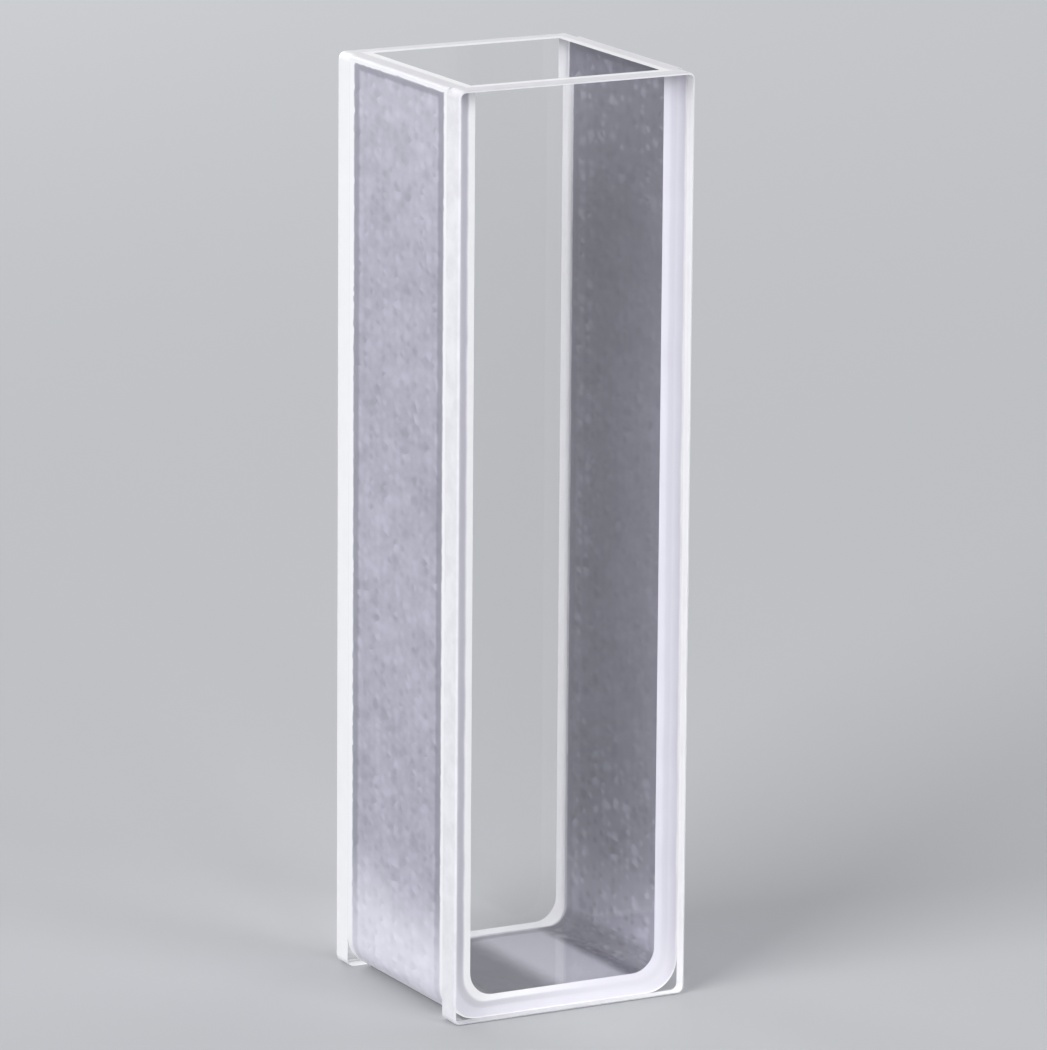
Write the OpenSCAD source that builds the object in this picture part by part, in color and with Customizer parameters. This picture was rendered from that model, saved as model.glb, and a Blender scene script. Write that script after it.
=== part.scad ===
// Square spectrophotometer cell. A frosted glass frame forms two walls and the
// floor, and two clear windows close it, so the well is open only at the rim.
// The origin is the middle of the base, +Z is up and light passes along Y.

/* [Well] */
// Length of the light path, from window to window
path_l = 10; // [2:0.5:20]
// Width of the well, from one frosted wall to the other
well_w = 10; // [4:0.5:20]
// Radius where each frosted wall runs into the floor
well_r = 1.2; // [0.2:0.1:1.8]

/* [Frame] */
// Thickness of each frosted wall
wall_t = 1.25; // [0.8:0.05:2.5]
// Thickness of the floor
floor_t = 1.1; // [0.8:0.05:2.5]
// Radius of the two rounded feet, outside
foot_r = 1.6; // [0.3:0.1:2.5]

/* [Windows] */
// Thickness of each clear window
window_t = 1.25; // [0.8:0.05:2.5]
// Radius of the four rounded corners of each window
corner_r = 0.35; // [0.15:0.05:0.8]

/* [Cell] */
// Height of the rim above the base
cell_h = 45; // [20:0.5:60]
// Width of the ground bevel along the outer edges
bevel = 0.1; // [0.05:0.05:0.4]

/* [Hidden] */
// The glass round the well sets the outside
cell_w = well_w + 2 * wall_t;
cell_d = path_l + 2 * window_t;
// Segments in a full circle
$fn = 96;

// Stands a section drawn in X and Z along the light path, centred on it
module along_light(length) {
    rotate([90, 0, 0]) linear_extrude(length, center = true) children();
}

// A rectangle centred on the Y axis that stands on the X axis, corners cut off
module bevelled_rectangle(w, h) {
    polygon([
        [-w / 2, bevel], [-w / 2 + bevel, 0], [w / 2 - bevel, 0], [w / 2, bevel],
        [w / 2, h - bevel], [w / 2 - bevel, h], [-w / 2 + bevel, h], [-w / 2, h - bevel]
    ]);
}

// A rectangle centred on the Y axis that stands on the X axis, lower corners round
module round_footed(w, h, r) {
    translate([-w / 2, r]) square([w, h - r]);
    translate([-w / 2 + r, 0]) square([w - 2 * r, h]);
    for (side = [-1, 1]) translate([side * (w / 2 - r), r]) circle(r);
}

// A rectangle centred on the Y axis that stands on the X axis, all corners round
module round_cornered(w, h, r) {
    intersection() {
        round_footed(w, h, r);
        translate([0, h]) mirror([0, 1]) round_footed(w, h, r);
    }
}

// The outside of the whole cell, with every outer edge ground to a bevel
module ground_block() {
    intersection() {
        along_light(cell_d) bevelled_rectangle(cell_w, cell_h);
        rotate([0, 0, 90]) along_light(cell_w) bevelled_rectangle(cell_d, cell_h);
        linear_extrude(cell_h) translate([0, -cell_d / 2]) bevelled_rectangle(cell_w, cell_d);
    }
}

// Two walls and the floor in one bend of glass, as long as the light path
module frosted_frame() {
    color("lavender")
    intersection() {
        ground_block();
        along_light(path_l)
        difference() {
            round_footed(cell_w, cell_h, foot_r);
            translate([0, floor_t]) round_footed(well_w, cell_h, well_r);
        }
    }
}

// A clear plate that covers one end of the frame: side is -1 in front, 1 behind
module window(side) {
    color("azure", 0.3)
    intersection() {
        ground_block();
        translate([0, side * (path_l + window_t) / 2])
            along_light(window_t) round_cornered(cell_w, cell_h, corner_r);
    }
}

frosted_frame();
window(-1);  // front_window
window(1);  // back_window
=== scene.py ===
"""Dresses a square glass sample cell: a frosted frame between two clear windows.

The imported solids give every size. Each piece of glass is drawn again as one closed
surface with its own finishes, and the whole stands on a pale studio floor.
"""

import math

import bmesh
import bpy
import numpy as np
from mathutils import Matrix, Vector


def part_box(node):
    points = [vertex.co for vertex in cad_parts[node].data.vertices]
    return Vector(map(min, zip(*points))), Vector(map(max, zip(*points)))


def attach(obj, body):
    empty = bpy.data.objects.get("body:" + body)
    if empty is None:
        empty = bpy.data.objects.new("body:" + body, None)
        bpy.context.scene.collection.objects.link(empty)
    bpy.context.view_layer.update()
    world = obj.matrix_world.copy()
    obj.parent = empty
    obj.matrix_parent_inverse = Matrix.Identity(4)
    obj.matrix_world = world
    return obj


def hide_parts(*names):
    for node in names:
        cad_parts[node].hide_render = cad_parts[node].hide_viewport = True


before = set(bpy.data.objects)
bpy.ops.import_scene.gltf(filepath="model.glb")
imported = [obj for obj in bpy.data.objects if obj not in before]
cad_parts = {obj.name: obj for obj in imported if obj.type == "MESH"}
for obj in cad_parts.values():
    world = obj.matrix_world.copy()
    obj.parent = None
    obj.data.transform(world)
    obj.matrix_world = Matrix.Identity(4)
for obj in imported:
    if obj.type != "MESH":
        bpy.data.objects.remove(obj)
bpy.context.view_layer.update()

bl_info = {
    "name": "Glass Sample Cell",
    "version": (1, 0, 0),
    "blender": (4, 5, 0),
    "location": "3D View > Sidebar > Sample Cell",
    "description": "Draws a frosted glass frame, its two clear windows and a studio",
    "category": "Object",
}

MM = 0.001

# two coordinates closer than this count as one
NEAR = 1e-6

# the frame's finishes, in the order of its material slots, and a window's
FROSTED, FUSED, POLISHED, GROUND = range(4)
CLEAR_FACE, GROUND_SIDE = range(2)

# steps along a wall, round a bend and along the floor
U_STEPS = (24, 16, 12)

GLASS_INDEX = 1.46
WHITEST = 0.98

LAMP_DISTANCE = 0.5
LAMP_SIZE = 0.35
# name, azimuth and elevation in degrees, and the level to which it lights a white surface
LAMPS = (
    ("key", -72, 22, 0.75),
    ("front", 8, 25, 0.47),
    ("fill", 105, 20, 0.28),
    ("back", 180, 20, 0.80),
)

SENSOR_WIDTH = 36.0
FLOOR_REACH = 3.0
FLOOR_DROP = 0.02 * MM


# ---------------------------------------------------------------- sizes from the solids


def corners_of(node):
    """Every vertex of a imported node, as rows of X, Y and Z in metres."""
    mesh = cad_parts[node].data
    flat = np.empty(len(mesh.vertices) * 3, np.float32)
    mesh.vertices.foreach_get("co", flat)
    return flat.reshape(-1, 3).astype(float)


def read_cell():
    """The cell's sizes in metres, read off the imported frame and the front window.

    The well is as wide as the gap between the walls at the rim, its radius is what the
    flat floor lacks of that width, and a foot's radius is what the flat base lacks of
    the outer width. A window's corner radius is what its straight top lacks of the width.
    The bevel is how far the front face stops short of the rim.
    """
    frame_points = corners_of("frosted_frame")
    window_points = corners_of("front_window")
    low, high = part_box("frosted_frame")
    above_base = 0.2 * MM
    side = np.abs(frame_points[:, 0])
    height = frame_points[:, 2]
    well_half = side[height > high.z - NEAR].min()
    inside = (side < well_half + NEAR) & (height > above_base)
    floor_top = height[inside].min()
    floor_half = side[inside & (height < floor_top + NEAR)].max()
    base_half = side[height < low.z + NEAR].max()
    window_low, window_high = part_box("front_window")
    on_face = window_points[:, 1] < window_low.y + NEAR
    on_top = window_points[:, 2] > window_high.z - NEAR
    return {
        "width": high.x - low.x,
        "height": high.z - low.z,
        "path": high.y - low.y,
        "window": window_high.y - window_low.y,
        "well": 2 * well_half,
        "floor": floor_top,
        "well_radius": well_half - floor_half,
        "foot_radius": high.x - base_half,
        "corner": high.x - window_points[on_top, 0].max(),
        "bevel": high.z - window_points[on_face, 2].max(),
    }


CELL = read_cell()
MIDDLE = np.array([0.0, 0.0, CELL["height"] / 2])


# ---------------------------------------------------------------- settings


class CellSettings(bpy.types.PropertyGroup):
    """Sizes and colours of the glass."""

    seam_gap: bpy.props.FloatProperty(
        name="Seam gap",
        description="Air left between two fused faces, so that neither hides the other",
        default=0.004 * MM,
        unit="LENGTH",
    )
    clear_tint: bpy.props.FloatVectorProperty(
        name="Clear glass",
        description="Tint of the polished windows",
        default=(0.985, 0.985, 0.985),
        subtype="COLOR",
        min=0.0,
        max=1.0,
    )
    # painted shade: the well faces are tinted much darker than clear glass, so that the walls
    # seen through them look shaded
    well_shade_tint: bpy.props.FloatVectorProperty(
        name="Well faces",
        description="Tint of the polished faces of the frame, inside the well",
        default=(0.70, 0.70, 0.72),
        subtype="COLOR",
        min=0.0,
        max=1.0,
    )
    frost_tint: bpy.props.FloatVectorProperty(
        name="Frosted glass",
        description="Colour of the ground walls",
        default=(0.45, 0.445, 0.53),
        subtype="COLOR",
        min=0.0,
        max=1.0,
    )
    edge_tint: bpy.props.FloatVectorProperty(
        name="Ground edges",
        description="Colour of the ground edges and the rim",
        default=(0.90, 0.895, 0.94),
        subtype="COLOR",
        min=0.0,
        max=1.0,
    )
    fused_tint: bpy.props.FloatVectorProperty(
        name="Fused faces",
        description="Colour of the faces where the frame and the windows are fused",
        default=(0.66, 0.65, 0.735),
        subtype="COLOR",
        min=0.0,
        max=1.0,
    )
    # painted highlights and painted light take this white: the bright lines round the well and
    # beside the seams, and the whiter parts of the edges and fused faces; it also tints the light
    # that passes through the fused faces
    highlight_and_glow_tint: bpy.props.FloatVectorProperty(
        name="White lines",
        description="Colour of the bright lines round the well and beside the seams",
        default=(0.96, 0.96, 0.975),
        subtype="COLOR",
        min=0.0,
        max=1.0,
    )


class StageSettings(bpy.types.PropertyGroup):
    """Floor, backdrop and camera."""

    floor_tint: bpy.props.FloatVectorProperty(
        name="Floor",
        description="Colour of the floor",
        default=(0.49, 0.50, 0.52),
        subtype="COLOR",
        min=0.0,
        max=1.0,
    )
    backdrop_tint: bpy.props.FloatVectorProperty(
        name="Backdrop",
        description="Colour of the backdrop behind the floor",
        default=(0.51, 0.52, 0.54),
        subtype="COLOR",
        min=0.0,
        max=1.0,
    )
    azimuth: bpy.props.FloatProperty(
        name="Azimuth",
        description="Direction the camera looks from, turned from the front window",
        default=math.radians(-28.1),
        subtype="ANGLE",
    )
    elevation: bpy.props.FloatProperty(
        name="Elevation",
        description="Height of the camera above the horizon",
        default=math.radians(13.1),
        subtype="ANGLE",
    )
    roll: bpy.props.FloatProperty(
        name="Roll",
        description="Turn of the camera about its own axis",
        default=math.radians(-0.44),
        subtype="ANGLE",
    )
    distance: bpy.props.FloatProperty(
        name="Distance",
        description="From the camera to the middle of the cell",
        default=370 * MM,
        unit="LENGTH",
    )
    aside: bpy.props.FloatProperty(
        name="Aside",
        description="How far the camera stands to the right of the cell's middle",
        default=0.54 * MM,
        unit="LENGTH",
    )
    above: bpy.props.FloatProperty(
        name="Above",
        description="How far the camera stands above the line to the cell's middle",
        default=0.02 * MM,
        unit="LENGTH",
    )
    lens: bpy.props.FloatProperty(
        name="Lens",
        description="Focal length on a 36 mm sensor",
        default=264.9,
        unit="CAMERA",
    )


# ---------------------------------------------------------------- shader expressions


class Wire:
    """One output socket of a material's nodes. Sums and products of wires and numbers
    become Math nodes, so a pattern is written as a plain expression."""

    def __init__(self, nodes, socket):
        self.nodes = nodes
        self.socket = socket

    def maths(self, operation, *values):
        made = self.nodes.add("ShaderNodeMath", {"operation": operation}, dict(enumerate(values)))
        return Wire(self.nodes, made.outputs[0])

    def __add__(self, other):
        return self.maths("ADD", self, other)

    def __sub__(self, other):
        return self.maths("SUBTRACT", self, other)

    def __rsub__(self, other):
        return self.maths("SUBTRACT", other, self)

    def __mul__(self, other):
        return self.maths("MULTIPLY", self, other)

    def __abs__(self):
        return self.maths("ABSOLUTE", self)

    __radd__ = __add__
    __rmul__ = __mul__

    def at_least(self, other):
        return self.maths("MAXIMUM", self, other)

    def at_most(self, other):
        return self.maths("MINIMUM", self, other)

    def root(self):
        return self.maths("SQRT", self)

    def rise(self, low, high):
        """A smooth step from 0 at low to 1 at high, which may lie below low."""
        made = self.nodes.add(
            "ShaderNodeMapRange",
            {"interpolation_type": "SMOOTHSTEP"},
            {"Value": self, "From Min": low, "From Max": high},
        )
        return Wire(self.nodes, made.outputs["Result"])

    def past_middle(self):
        """0 on one side of the cell's middle and 1 on the other."""
        return self.rise(-1.0 * MM, 1.0 * MM)


class Nodes:
    """The node tree of one material or world, with one way to add a node to it."""

    def __init__(self, owner):
        owner.use_nodes = True
        self.tree = owner.node_tree
        self.tree.nodes.clear()

    def add(self, kind, settings=None, values=None):
        """A node of this kind: its settings are set first, then its sockets are given
        numbers, colours or wires."""
        made = self.tree.nodes.new(kind)
        for name, value in (settings or {}).items():
            setattr(made, name, value)
        for key, value in (values or {}).items():
            socket = made.inputs[key]
            if isinstance(value, Wire):
                self.tree.links.new(value.socket, socket)
            elif hasattr(value, "is_output"):
                self.tree.links.new(value, socket)
            elif hasattr(value, "__len__") and len(value) == 3 and socket.type == "RGBA":
                socket.default_value = (*value, 1.0)
            else:
                socket.default_value = value
        return made

    def wire(self, kind, output, settings=None, values=None):
        return Wire(self, self.add(kind, settings, values).outputs[output])

    def place(self):
        """The point on the piece, in its own coordinates."""
        return self.wire("ShaderNodeTexCoord", "Object")

    def along(self, place):
        """The X, Y and Z of a place, as three wires."""
        split = self.add("ShaderNodeSeparateXYZ", values={"Vector": place})
        return [Wire(self, split.outputs[i]) for i in range(3)]

    def stretched(self, place, scale):
        """A place scaled along X, Y and Z, which draws a pattern out where it is less
        than 1."""
        return self.wire(
            "ShaderNodeVectorMath", "Vector", {"operation": "MULTIPLY"}, {0: place, 1: scale}
        )

    def noise(self, place, size, detail, rough=0.5):
        """Noise from 0 to 1 whose marks are about the given size across."""
        return self.wire(
            "ShaderNodeTexNoise",
            "Fac",
            values={"Vector": place, "Scale": 1.0 / size, "Detail": detail, "Roughness": rough},
        )

    def beads(self, along, up, size):
        """Round soft beads about the given size across, laid out by two wires, each with
        its own strength from -1 to 1."""
        flat = self.wire("ShaderNodeCombineXYZ", "Vector", values={"X": along, "Y": up})
        cells = self.add(
            "ShaderNodeTexVoronoi",
            {"voronoi_dimensions": "2D"},
            {"Vector": flat, "Scale": 1.0 / size},
        )
        strength = self.along(cells.outputs["Color"])[0]
        return Wire(self, cells.outputs["Distance"]).rise(0.6, 0.05) * (strength * 2.0 - 1.0)

    def blend(self, share, first, second):
        """The first colour where share is 0 and the second where it is 1."""
        made = self.add(
            "ShaderNodeMix", {"data_type": "RGBA"}, {0: share, 6: first, 7: second}
        )
        return Wire(self, made.outputs[2])

    def bump(self, height, depth):
        return self.wire("ShaderNodeBump", "Normal", values={"Height": height, "Distance": depth})

    def mixed(self, share, first, second):
        """The first node's shader where share is 0 and the second's where it is 1."""
        values = {0: share, 1: first.outputs[0], 2: second.outputs[0]}
        return self.add("ShaderNodeMixShader", values=values).outputs[0]

    def light_path(self, name):
        return self.wire("ShaderNodeLightPath", name)

    def seen(self):
        """1 for what is looked at, straight or by way of glass, and 0 for what only
        lights the scene."""
        straight_on = self.light_path("Is Camera Ray").at_least(self.light_path("Is Glossy Ray"))
        return straight_on.at_least(self.light_path("Is Transmission Ray"))

    def end(self, surface):
        self.add("ShaderNodeOutputMaterial", values={"Surface": surface})


def scaled(tint, share):
    """A tint made lighter or darker, kept below full white."""
    return tuple(min(WHITEST, share * part) for part in tint)


def new_material(name):
    material = bpy.data.materials.new(name)
    return material, Nodes(material)


def through_lamps(nodes, glass, tint):
    """A glass shader that lets the lamps' light straight through, as a thin clear wall
    does, so that what stands behind it is lit."""
    clear = nodes.add("ShaderNodeBsdfTransparent", values={"Color": tint})
    return nodes.mixed(nodes.light_path("Is Shadow Ray"), glass, clear)


def polished_glass(name, tint):
    """Clear polished glass, with the faintest cloudiness in its polish."""
    material, nodes = new_material(name)
    haze = nodes.noise(nodes.place(), 3.0 * MM, 2.0)
    glass = nodes.add(
        "ShaderNodeBsdfPrincipled",
        values={
            "Base Color": tint,
            "Roughness": haze * 0.02,
            "IOR": GLASS_INDEX,
            "Transmission Weight": 1.0,
        },
    )
    nodes.end(through_lamps(nodes, glass, tint))
    return material


def scattering(nodes, colour, rough, normal, through, glow):
    """A ground surface: part of the light comes back from it in the given colour and
    part goes through in the plain tint called glow, both spread out. It looks the same
    from the air and from inside the glass."""
    front = nodes.add(
        "ShaderNodeBsdfPrincipled",
        values={
            "Base Color": colour,
            "Roughness": rough,
            "Specular IOR Level": 0.4,
            "Normal": normal,
        },
    )
    behind = nodes.add("ShaderNodeBsdfTranslucent", values={"Color": glow, "Normal": normal})
    return nodes.mixed(through, front, behind)


def frost_marks(nodes, place):
    """Clouds, mottling and grain, and the round beads over them, all drawn out along the
    light path. The beads run on down a wall, round its bend and along the floor."""
    x, y, z = nodes.along(place)
    drawn_out = 0.7
    spread = nodes.stretched(place, (1.0, drawn_out, 1.0))
    cloud = nodes.noise(spread, 5.0 * MM, 2.0, 0.4)
    mottle = nodes.noise(spread, 1.4 * MM, 2.0)
    grain = nodes.noise(spread, 0.3 * MM, 2.0)
    across, down = y * drawn_out, z + abs(x)
    bead = nodes.beads(across, down, 0.72 * MM) * 0.6 + nodes.beads(across, down, 0.45 * MM) * 0.5
    return cloud, mottle, grain, bead


def right_wall_beads(nodes, colour, tint, place, cloud, bead):
    """The colour with the right wall's beads, light and dark. They are strong near the
    base, and half as strong near the rim and along the back seam. A band just above the
    bend is painted paler: painted light."""
    x, y, z = nodes.along(place)
    right = x.past_middle()
    rim = CELL["height"] - z
    ends = (z + (cloud - 0.5) * 8.0 * MM).rise(13.0 * MM, 4.0 * MM)
    ends = ends.at_least(rim.rise(9.0 * MM, 3.0 * MM) * 0.5)
    strong = ends.at_least(y.rise(1.8 * MM, 3.8 * MM) * 0.5) * right
    light = bead.rise(0.0, 0.6) * 0.6 + 0.12
    dark = bead.rise(0.0, -0.6) * 0.45
    # painted light: a paler band just above the bend
    band = z.rise(6.0 * MM, 3.0 * MM) * z.rise(1.0 * MM, 2.0 * MM)
    colour = nodes.blend(band * right * 0.7, colour, scaled(tint, 1.4))
    colour = nodes.blend(light * strong * (band * 0.7 + 0.7), colour, scaled(tint, 1.9))
    return nodes.blend(dark * strong, colour, scaled(tint, 0.4))


def base_shades(nodes, colour, tint, place, foot, bead):
    """The colour with painted light on the feet, the left rim and the floor's right,
    painted shade on the floor's left and a band of painted shade along the right bend."""
    x, _, z = nodes.along(place)
    right = x.past_middle()
    rim = CELL["height"] - z
    outside = abs(x).rise(4.6 * MM, 5.8 * MM)
    # painted light on the feet and towards the left rim
    pale = foot.at_least(rim.rise(9.0 * MM, 0.5 * MM) * (1.0 - right) * 0.2)
    # painted light on the right of the floor
    painted_floor_light = z.rise(2.0 * MM, 1.0 * MM) * right * x.rise(4.3 * MM, 3.5 * MM)
    pale = pale + pale * bead * 0.25 + painted_floor_light
    colour = nodes.blend(pale, colour, scaled(tint, 2.0))
    # painted shade on the left of the floor
    painted_floor_shade = (1.0 - right) * (1.0 - outside)
    colour = nodes.blend(painted_floor_shade * 0.7, colour, scaled(tint, 0.3))
    # painted shade in a band along the right bend
    bend = x.rise(3.6 * MM, 4.4 * MM) * z.rise(1.9 * MM, 1.1 * MM)
    return nodes.blend(bend * 0.3, colour, scaled(tint, 0.25))


def frosted_glass(settings):
    """The ground outside of the frame: soft clouds under round beads, some light and
    some dark. The right wall is painted darker, most so towards the rim: painted shade.
    A white fringe of painted highlight follows each seam, the rim and the left foot,
    and a dark line of painted shade lies inside it, fainter at the feet."""
    material, nodes = new_material("frosted_glass")
    place = nodes.place()
    x, y, z = nodes.along(place)
    cloud, mottle, grain, bead = frost_marks(nodes, place)
    right, back = x.past_middle(), y.past_middle()
    rim = CELL["height"] - z
    outside = abs(x).rise(4.6 * MM, 5.8 * MM)
    tint = settings.frost_tint
    tone = (cloud - 0.5) * 0.5 + (mottle - 0.5) * 0.6 + (grain - 0.5) * 0.4
    tone = tone + bead * 0.45 + 0.5
    colour = nodes.blend(tone.rise(0.0, 1.0), scaled(tint, 0.8), scaled(tint, 1.2))
    # painted shade: the right wall is made darker, more so towards the rim
    dark = right * (rim.rise(20.0 * MM, 3.0 * MM) * 0.25 + 0.32)
    colour = nodes.blend(dark, colour, scaled(tint, 0.3))
    colour = right_wall_beads(nodes, colour, tint, place, cloud, bead)
    wave = (cloud - 0.5) * 5.0 * MM
    # painted light: the feet are made paler towards the base, as base_shades paints it
    foot = (z + wave).rise(7.0 * MM, 1.5 * MM) * outside * (1.0 - right * 0.6) * 0.75
    colour = base_shades(nodes, colour, tint, place, foot, bead)
    # border is the way from the nearest seam or from the rim
    seam = CELL["path"] / 2 - abs(y) - back * 0.2 * MM + right * 0.3 * MM
    border = seam.at_most(rim * 1.8 - 0.2 * MM + right * 0.2 * MM) + bead * 0.1 * MM
    # painted shade: a dark line inside the white fringe, beside each seam and under the rim
    line = border.rise(0.28 * MM, 0.42 * MM) * border.rise(1.0 * MM, 0.7 * MM)
    line = line * (1.0 - foot * 0.9)
    colour = nodes.blend(line * 0.6, colour, scaled(tint, 0.55))
    # painted highlight: a white line along the base of the left foot
    sole_highlight = z.rise(0.75 * MM, 0.45 * MM) * outside * (1.0 - right)
    # painted highlight: the white fringe beside each seam and the rim, joined with the foot's
    # line
    fringe = border.rise(0.32 * MM, 0.22 * MM).at_least(sole_highlight)
    colour = nodes.blend(fringe, colour, settings.highlight_and_glow_tint)
    normal = nodes.bump(grain * 0.5 + bead * 0.5, 0.02 * MM)
    nodes.end(scattering(nodes, colour, 0.5 + grain * 0.25, normal, 0.08, tint))
    return material


def ground_edge(settings):
    """Fine-ground edges and rim: white, with faint uneven grinding, a little darker on
    top and with a painted highlight along the mouth of the well. The right and the back
    are painted whiter: painted light."""
    material, nodes = new_material("ground_edge")
    place = nodes.place()
    x, y, z = nodes.along(place)
    cloud = nodes.noise(place, 1.1 * MM, 3.0, 0.6)
    grain = nodes.noise(place, 0.08 * MM, 2.0, 0.7)
    tint = settings.edge_tint
    colour = nodes.blend(cloud.rise(0.3, 0.7), scaled(tint, 0.9), tint)
    # painted light: the right and the back made whiter
    painted_light_right_back = x.rise(0.0, 4.0 * MM).at_least(y.rise(0.0, 4.0 * MM))
    colour = nodes.blend(painted_light_right_back * 0.8, colour, settings.highlight_and_glow_tint)
    mouth = abs(x).at_least(abs(y)) - CELL["well"] / 2 + (cloud - 0.5) * 0.1 * MM
    top = (z - CELL["height"]).rise(-0.1 * MM, 0.0)
    colour = nodes.blend(top * 0.8, colour, scaled(tint, 0.82))
    # painted highlight: the whitest line along the mouth of the well
    lip = mouth.rise(0.55 * MM, 0.35 * MM) * top
    colour = nodes.blend(lip, colour, settings.highlight_and_glow_tint)
    normal = nodes.bump(grain, 0.01 * MM)
    nodes.end(scattering(nodes, colour, 0.45 + grain * 0.2, normal, 0.12, tint))
    return material


def fused_face(settings):
    """The faces where frame and window are fused, seen through the clear glass: milky
    and a little uneven, with a painted highlight along the well and a band of painted
    shade beside it, both strongest on the left. The outer edge and the feet are painted
    whiter, and the back is painted white all over: painted light."""
    material, nodes = new_material("fused_face")
    place = nodes.place()
    x, y, z = nodes.along(place)
    across = nodes.wire("ShaderNodeAttribute", "Fac", {"attribute_name": "across"})
    cloud = nodes.noise(place, 1.8 * MM, 3.0, 0.6)
    grain = nodes.noise(place, 0.12 * MM, 2.0, 0.6)
    tint = settings.fused_tint
    left = x.rise(4.0 * MM, -4.0 * MM)
    behind = y.past_middle()
    uneven = across + (cloud - 0.5) * 0.1
    bright = uneven * 0.6 + cloud * 0.4
    colour = nodes.blend(bright, scaled(tint, 0.9), scaled(tint, 1.15))
    # painted shade: a darker band beside the white line along the well, strongest on the left
    hollow = uneven.rise(0.38, 0.52) * uneven.rise(0.76, 0.62) * (left * 0.7 + 0.3)
    colour = nodes.blend(hollow, colour, scaled(tint, 0.75))
    # painted highlight: a white line along the well, strongest on the left
    white = uneven.rise(0.66, 0.78) * (left * 0.9 + 0.1)
    # painted highlight: a white line along the outer edge
    white = white.at_least(uneven.rise(0.12, 0.0))
    # painted light: the feet made whiter
    white = white.at_least(z.rise(4.0 * MM, 1.0 * MM) * 0.25)
    # painted light: the back faces white all over
    colour = nodes.blend(white.at_least(behind * 0.95), colour, settings.highlight_and_glow_tint)
    normal = nodes.bump(grain, 0.008 * MM)
    through = behind * 0.58 + 0.12
    glow = settings.highlight_and_glow_tint
    nodes.end(scattering(nodes, colour, 0.5 + grain * 0.2, normal, through, glow))
    return material


# ---------------------------------------------------------------- surfaces


def mesh_piece(name, points, faces, finishes, finish_of, region_of):
    """Makes a mesh object from points and faces. Every face has a finish, which is its
    material, and a region, and an edge between two regions stays sharp, so that arcs
    shade smooth and flats stay flat."""
    mesh = bpy.data.meshes.new(name)
    mesh.from_pydata(points.tolist(), [], faces)
    for material in finishes:
        mesh.materials.append(material)
    mesh.polygons.foreach_set("material_index", finish_of.astype(np.int32))
    mesh.polygons.foreach_set("use_smooth", np.ones(len(faces), bool))
    mark_borders(mesh, region_of)
    mesh.update()
    piece = bpy.data.objects.new(name, mesh)
    bpy.context.scene.collection.objects.link(piece)
    outward(piece)
    return piece


def mark_borders(mesh, region_of):
    """Marks as sharp each edge whose two faces lie in different regions."""
    corners = np.empty(len(mesh.polygons), np.int32)
    mesh.polygons.foreach_get("loop_total", corners)
    region_at = np.repeat(region_of, corners)
    edge_at = np.empty(len(mesh.loops), np.int32)
    mesh.loops.foreach_get("edge_index", edge_at)
    low = np.full(len(mesh.edges), region_of.max())
    high = np.full(len(mesh.edges), region_of.min())
    np.minimum.at(low, edge_at, region_at)
    np.maximum.at(high, edge_at, region_at)
    sharp = mesh.attributes.new("sharp_edge", "BOOLEAN", "EDGE")
    sharp.data.foreach_set("value", low != high)


def outward(piece):
    """Turns every face outwards, whichever way the surface was run."""
    shell = bmesh.new()
    shell.from_mesh(piece.data)
    bmesh.ops.recalc_face_normals(shell, faces=shell.faces)
    shell.to_mesh(piece.data)
    shell.free()


def arc(centre, radius, start, stop, steps):
    """Points on a circle about centre, from angle start to stop in radians, as rows."""
    angle = np.linspace(start, stop, steps + 1)
    return np.stack(
        [centre[0] + radius * np.cos(angle), centre[1] + radius * np.sin(angle)], axis=1
    )


def straight(first, last, steps):
    """Points from first to last in equal steps, as rows."""
    share = np.linspace(0.0, 1.0, steps + 1)[:, None]
    return (1 - share) * np.asarray(first) + share * np.asarray(last)


def u_path(half, foot, top, radius, counts):
    """The way down one wall, round a foot, along the floor, round the other foot and up
    again, in X and Z. half is where the walls stand, foot is the floor's height and
    counts gives the steps along a wall, a bend and the floor. Also the number of the
    stretch that each step lies in."""
    wall, bend, floor = counts
    left, right = -half + radius, half - radius
    stretches = [
        straight((-half, top), (-half, foot + radius), wall),
        arc((left, foot + radius), radius, math.pi, 1.5 * math.pi, bend),
        straight((left, foot), (right, foot), floor),
        arc((right, foot + radius), radius, 1.5 * math.pi, 2 * math.pi, bend),
        straight((half, foot + radius), (half, top), wall),
    ]
    points = np.concatenate([stretches[0][:1]] + [s[1:] for s in stretches])
    stretch_of = np.repeat(np.arange(5), [len(s) - 1 for s in stretches])
    return points, stretch_of


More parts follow.
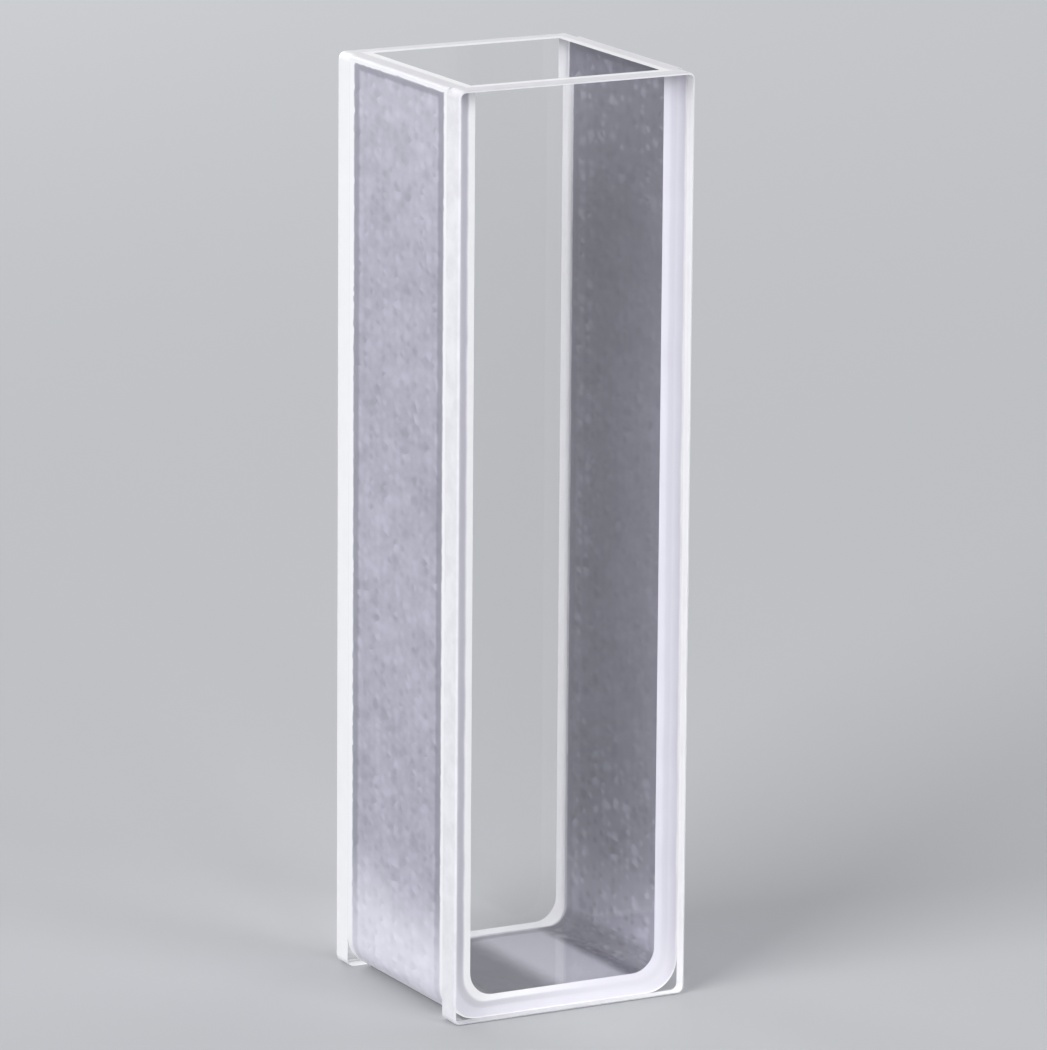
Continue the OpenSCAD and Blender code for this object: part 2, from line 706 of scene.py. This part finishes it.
def frame_surface(gap):
    """The frame as a rectangular section carried along the U of the walls and floor.

    At each step along the U the section has four corners: the outer path and the inner
    path, each at the front and at the back. The grid of those corners is closed round
    the section. At each rim, where a bevel cuts the outer edge, the bevel, the flat and
    the ends beside them close it.
    """
    outer, stretch_of = u_path(
        CELL["width"] / 2, 0.0, CELL["height"], CELL["foot_radius"], U_STEPS
    )
    inner, _ = u_path(
        CELL["well"] / 2, CELL["floor"], CELL["height"], CELL["well_radius"], U_STEPS
    )
    cut = CELL["bevel"]
    outer[[0, -1], 1] -= cut
    # the four corners of every section: outer front, outer back, inner back, inner front
    depth = (CELL["path"] / 2 - gap) * np.array([-1, 1, 1, -1])
    paths = np.stack([outer, outer, inner, inner], axis=1)
    steps, around = paths.shape[:2]
    depths = np.broadcast_to(depth, (steps, around))
    grid = np.stack([paths[..., 0], depths, paths[..., 1]], axis=2).reshape(-1, 3)
    step, side = np.meshgrid(np.arange(steps - 1), np.arange(around), indexing="ij")
    a = step * around + side
    b = step * around + (side + 1) % around
    quads = np.stack([a, b, b + around, a + around], axis=2).reshape(-1, 4)
    # the sides of the section: outside, back, well and front, each with its own regions
    finish_of = np.array([FROSTED, FUSED, POLISHED, FUSED])[side].ravel()
    per_side = 8
    region_of = (side * per_side + np.where(side % 2 == 0, stretch_of[step], 0)).ravel()
    # each rim has two more points, where the flat meets the bevel
    lip_x = (CELL["width"] / 2 - cut) * np.array([-1, -1, 1, 1])
    lips = np.stack([lip_x, np.tile(depth[:2], 2), np.full(4, CELL["height"])], axis=1)
    first = np.array([0, (steps - 1) * around])
    lip = len(grid) + np.array([0, 2])
    bevels = np.stack([first, lip, lip + 1, first + 1], axis=1)
    flats = np.stack([lip, first + 3, first + 2, lip + 1], axis=1)
    front_ends = np.stack([first, first + 3, lip], axis=1)
    back_ends = np.stack([first + 1, lip + 1, first + 2], axis=1)
    rims = bevels.tolist() + flats.tolist() + front_ends.tolist() + back_ends.tolist()
    finish_of = np.concatenate([finish_of, np.repeat([GROUND, FUSED], 4)])
    # a bevel and a flat are regions of their own, and an end is one with its fused face
    rim_regions = 5 * per_side + np.arange(4)
    end_regions = np.repeat([3 * per_side, per_side], 2)
    region_of = np.concatenate([region_of, rim_regions, end_regions])
    return np.concatenate([grid, lips]), quads.tolist() + rims, finish_of, region_of


def mark_across(piece):
    """Gives each point of the frame its share of the way from the outside, which is 0,
    to the well, which is 1."""
    flat = np.empty(len(piece.data.vertices) * 3, np.float32)
    piece.data.vertices.foreach_get("co", flat)
    x, _, z = np.abs(flat.reshape(-1, 3)).T
    in_well = (x < CELL["well"] / 2 + NEAR) & (z > CELL["floor"] - NEAR)
    across = piece.data.attributes.new("across", "FLOAT", "POINT")
    across.data.foreach_set("value", in_well.astype(np.float32))


def window_surface(side, gap):
    """A window as closed outlines carried from its fused face to its outer face.

    The outline at a given inset is a rounded rectangle: about each of four corner
    centres runs a quarter turn, whose radius is the corner's less the inset. The inset
    is nothing across the edge and then follows a quarter round of the bevel's width. A
    cap of one face closes each end. side is -1 for the front window and 1 for the back.
    """
    turns, bends = 4, 5
    cut, corner = CELL["bevel"], CELL["corner"]
    fused = CELL["path"] / 2 + gap
    outer = CELL["path"] / 2 + CELL["window"]
    turn = np.linspace(0.0, math.pi / 2, turns + 1)
    inset = np.concatenate([[0.0], cut * (1 - np.cos(turn))])
    depth = np.concatenate([[fused], outer - cut + cut * np.sin(turn)])
    quarter = np.arange(4)[:, None] - 1
    angle = ((quarter + np.linspace(0.0, 1.0, bends + 1)) * math.pi / 2).ravel()
    reach, low, high = CELL["width"] / 2 - corner, corner, CELL["height"] - corner
    centre_x = np.repeat([reach, reach, -reach, -reach], bends + 1)
    centre_z = np.repeat([low, high, high, low], bends + 1)
    radius = (corner - inset)[:, None]
    x = centre_x + radius * np.cos(angle)
    z = centre_z + radius * np.sin(angle)
    grid = np.stack([x, np.broadcast_to(side * depth[:, None], x.shape), z], axis=2)
    rows, around = x.shape
    row, step = np.meshgrid(np.arange(rows - 1), np.arange(around), indexing="ij")
    a = row * around + step
    b = row * around + (step + 1) % around
    quads = np.stack([a, b, b + around, a + around], axis=2).reshape(-1, 4)
    caps = np.arange(rows * around).reshape(rows, around)[[0, -1]]
    # a stretch is even for a corner and odd for the side after it
    stretch_of = 2 * np.repeat(np.arange(4), bends + 1) + np.tile(
        np.repeat([0, 1], [bends, 1]), 4
    )
    # the edge, the bevel and the two caps never share a region
    bevel_regions, cap_regions = 20, [100, 101]
    region_of = np.where(row == 0, 0, bevel_regions) + stretch_of[step]
    region_of = np.concatenate([region_of.ravel(), cap_regions])
    finish_of = np.repeat([GROUND_SIDE, CLEAR_FACE], [len(quads), 2])
    return grid.reshape(-1, 3), quads.tolist() + caps.tolist(), finish_of, region_of


# ---------------------------------------------------------------- operators


class CELL_OT_frame(bpy.types.Operator):
    """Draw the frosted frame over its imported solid"""

    bl_idname = "cell.frame"
    bl_label = "Frosted Frame"

    def execute(self, context):
        settings = context.scene.cell
        finishes = [
            frosted_glass(settings),
            fused_face(settings),
            # the well faces take the darker tint, which paints shade on the walls seen through
            # them
            polished_glass("well_face", settings.well_shade_tint),
            ground_edge(settings),
        ]
        points, faces, finish_of, region_of = frame_surface(settings.seam_gap)
        piece = mesh_piece("frosted_frame_glass", points, faces, finishes, finish_of, region_of)
        mark_across(piece)
        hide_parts("frosted_frame")
        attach(piece, "root")
        return {"FINISHED"}


class CELL_OT_windows(bpy.types.Operator):
    """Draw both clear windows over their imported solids"""

    bl_idname = "cell.windows"
    bl_label = "Clear Windows"

    def execute(self, context):
        settings = context.scene.cell
        polished = polished_glass("polished_glass", settings.clear_tint)
        edge = ground_edge(settings)
        for node, side in (("front_window", -1), ("back_window", 1)):
            points, faces, finish_of, region_of = window_surface(side, settings.seam_gap)
            piece = mesh_piece(
                node + "_glass", points, faces, [polished, edge], finish_of, region_of
            )
            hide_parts(node)
            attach(piece, "root")
        return {"FINISHED"}


def studio_floor(settings):
    """A plain pale floor that fades into the backdrop far from the cell."""
    material, nodes = new_material("studio_floor")
    place = nodes.place()
    x, y, _ = nodes.along(place)
    fade = (x * x + y * y).root().rise(150 * MM, 600 * MM)
    matt = nodes.add(
        "ShaderNodeBsdfDiffuse", values={"Color": settings.floor_tint, "Roughness": 0.5}
    )
    glow = nodes.add(
        "ShaderNodeEmission", values={"Color": settings.backdrop_tint, "Strength": 1.0}
    )
    nodes.end(nodes.mixed(fade * nodes.seen(), matt, glow))
    return material


def studio_world(settings):
    """Soft light from all round for the glass, and a plain backdrop to look at."""
    world = bpy.data.worlds.new("studio")
    bpy.context.scene.world = world
    nodes = Nodes(world)
    soft = nodes.add(
        "ShaderNodeBackground", values={"Color": (0.97, 0.98, 1.0), "Strength": 0.26}
    )
    plain = nodes.add(
        "ShaderNodeBackground", values={"Color": settings.backdrop_tint, "Strength": 1.0}
    )
    seen = nodes.mixed(nodes.seen(), soft, plain)
    nodes.add("ShaderNodeOutputWorld", values={"Surface": seen})


def direction(azimuth, elevation):
    """The unit vector from the cell towards a viewer. Azimuth 0 is the front window's
    side and grows towards +X."""
    level = math.cos(elevation)
    return np.array(
        [math.sin(azimuth) * level, -math.cos(azimuth) * level, math.sin(elevation)]
    )


def sideways(back):
    """The unit vectors to the right and up for a viewer who looks against back."""
    right = np.cross((0.0, 0.0, 1.0), back)
    right /= np.linalg.norm(right)
    return right, np.cross(back, right)


def point_at(holder, place, back, roll):
    """Puts a lamp or camera at a place, looking against back, turned by roll."""
    right, up = sideways(back)
    turned_right = right * math.cos(roll) - up * math.sin(roll)
    turned_up = right * math.sin(roll) + up * math.cos(roll)
    rows = np.stack([turned_right, turned_up, back, place], axis=1)
    holder.matrix_world = Matrix([*rows.tolist(), [0, 0, 0, 1]])


def soft_box(name, azimuth, elevation, level):
    """A square lamp that lights a white surface facing it to the given level. Its light
    reaches through glass by the glass's own finish, so refracted rays pass it by and
    nothing is lit twice."""
    lamp = bpy.data.lights.new(name, "AREA")
    lamp.size = LAMP_SIZE
    lamp.energy = level * (math.pi * LAMP_DISTANCE) ** 2
    holder = bpy.data.objects.new(name, lamp)
    back = direction(math.radians(azimuth), math.radians(elevation))
    point_at(holder, MIDDLE + back * LAMP_DISTANCE, back, 0.0)
    holder.visible_transmission = False
    holder.visible_camera = False
    bpy.context.scene.collection.objects.link(holder)


class CELL_OT_stage(bpy.types.Operator):
    """Set up the floor, the backdrop, the lamps and the camera"""

    bl_idname = "cell.stage"
    bl_label = "Studio"

    def execute(self, context):
        scene = context.scene
        settings = scene.cell_stage
        ring = arc((0.0, 0.0), FLOOR_REACH, 0.0, 2 * math.pi, 64)[:-1]
        points = np.column_stack([ring, np.full(len(ring), -FLOOR_DROP)])
        mesh = bpy.data.meshes.new("floor")
        mesh.from_pydata(points.tolist(), [], [tuple(range(len(points)))])
        mesh.materials.append(studio_floor(settings))
        floor = bpy.data.objects.new("floor", mesh)
        scene.collection.objects.link(floor)
        studio_world(settings)
        for lamp in LAMPS:
            soft_box(*lamp)
        lens = bpy.data.cameras.new("camera")
        lens.sensor_width = SENSOR_WIDTH
        lens.lens = settings.lens
        lens.clip_start, lens.clip_end = 0.01, 10.0
        camera = bpy.data.objects.new("camera", lens)
        scene.collection.objects.link(camera)
        back = direction(settings.azimuth, settings.elevation)
        right, up = sideways(back)
        place = MIDDLE + back * settings.distance + right * settings.aside + up * settings.above
        point_at(camera, place, back, settings.roll)
        scene.camera = camera
        scene.view_settings.view_transform = "Standard"
        return {"FINISHED"}


class CELL_PT_panel(bpy.types.Panel):
    """Lists the cell's settings and the operators that draw it"""

    bl_idname = "CELL_PT_panel"
    bl_label = "Sample Cell"
    bl_space_type = "VIEW_3D"
    bl_region_type = "UI"
    bl_category = "Sample Cell"

    def draw(self, context):
        for group in (context.scene.cell, context.scene.cell_stage):
            for name in group.bl_rna.properties.keys():
                if name not in ("rna_type", "name"):
                    self.layout.prop(group, name)
        for operator in OPERATORS:
            self.layout.operator(operator.bl_idname)


OPERATORS = (CELL_OT_windows, CELL_OT_frame, CELL_OT_stage)
CLASSES = (CellSettings, StageSettings, *OPERATORS, CELL_PT_panel)


def register():
    for kind in CLASSES:
        bpy.utils.register_class(kind)
    bpy.types.Scene.cell = bpy.props.PointerProperty(type=CellSettings)
    bpy.types.Scene.cell_stage = bpy.props.PointerProperty(type=StageSettings)


def unregister():
    del bpy.types.Scene.cell_stage
    del bpy.types.Scene.cell
    for kind in reversed(CLASSES):
        bpy.utils.unregister_class(kind)


def main():
    register()
    bpy.ops.cell.windows()
    bpy.ops.cell.frame()
    bpy.ops.cell.stage()


if __name__ == "__main__":
    main()
